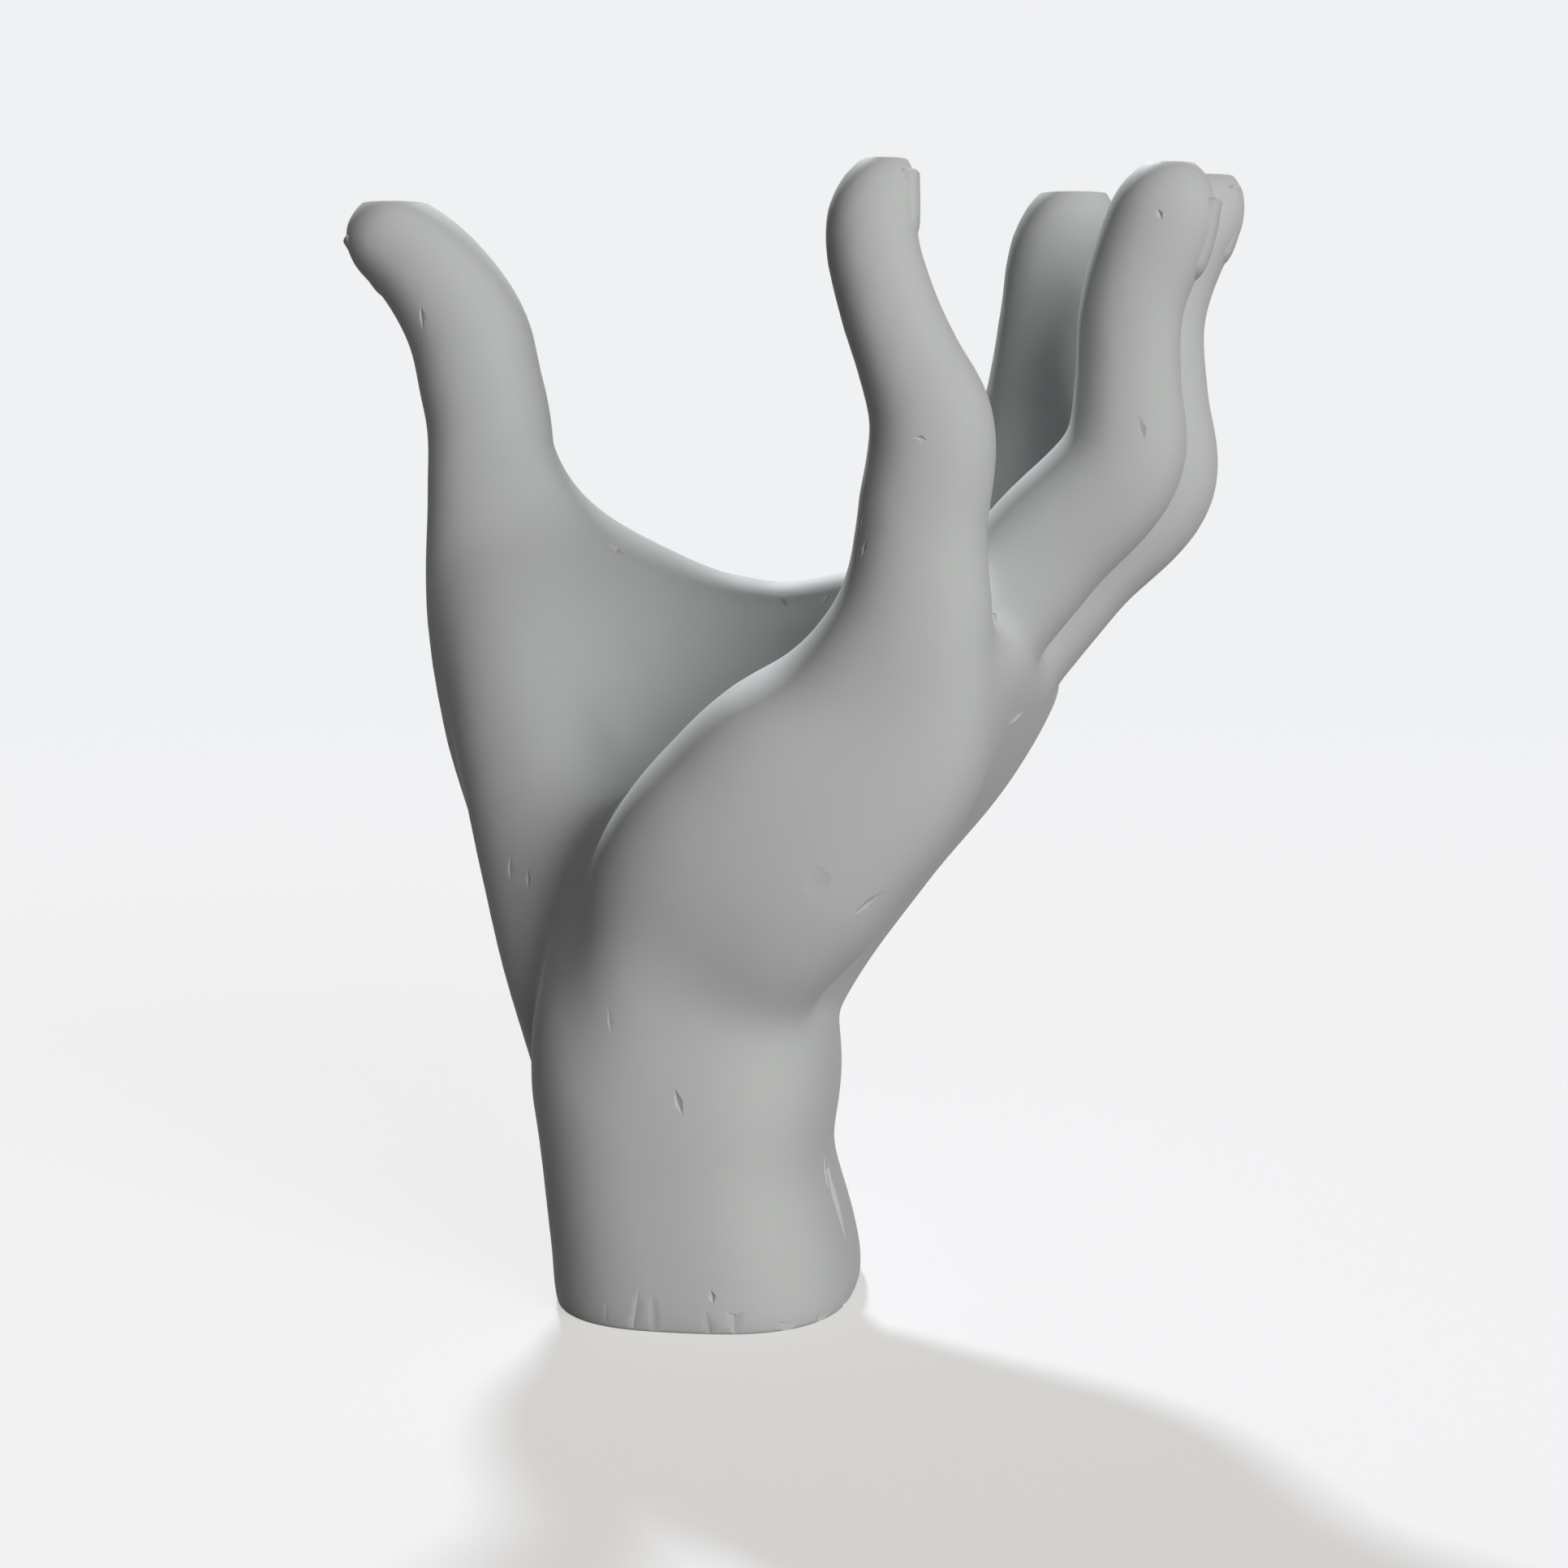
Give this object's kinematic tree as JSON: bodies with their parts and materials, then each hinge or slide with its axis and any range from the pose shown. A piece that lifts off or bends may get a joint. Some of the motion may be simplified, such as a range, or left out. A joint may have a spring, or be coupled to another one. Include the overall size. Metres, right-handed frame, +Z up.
{
  "type": "watch stand",
  "caption": "Stand in the form of a cupped left hand on its cut wrist: holds a watch or bracelet round the level fingertips or in the palm.",
  "frame": {"origin": "middle of the wrist's flat foot, in the plane that it stands on", "axes": "+Z up along the wrist, -X the way the palm faces, -Y the little finger's side"},
  "size_m": [0.1513, 0.1088, 0.18],
  "materials": {
    "cast_grey": "matte, light grey, cast in one piece"
  },
  "bodies": {
    "root": {"hand": "cast_grey"}
  },
  "joints": []
}
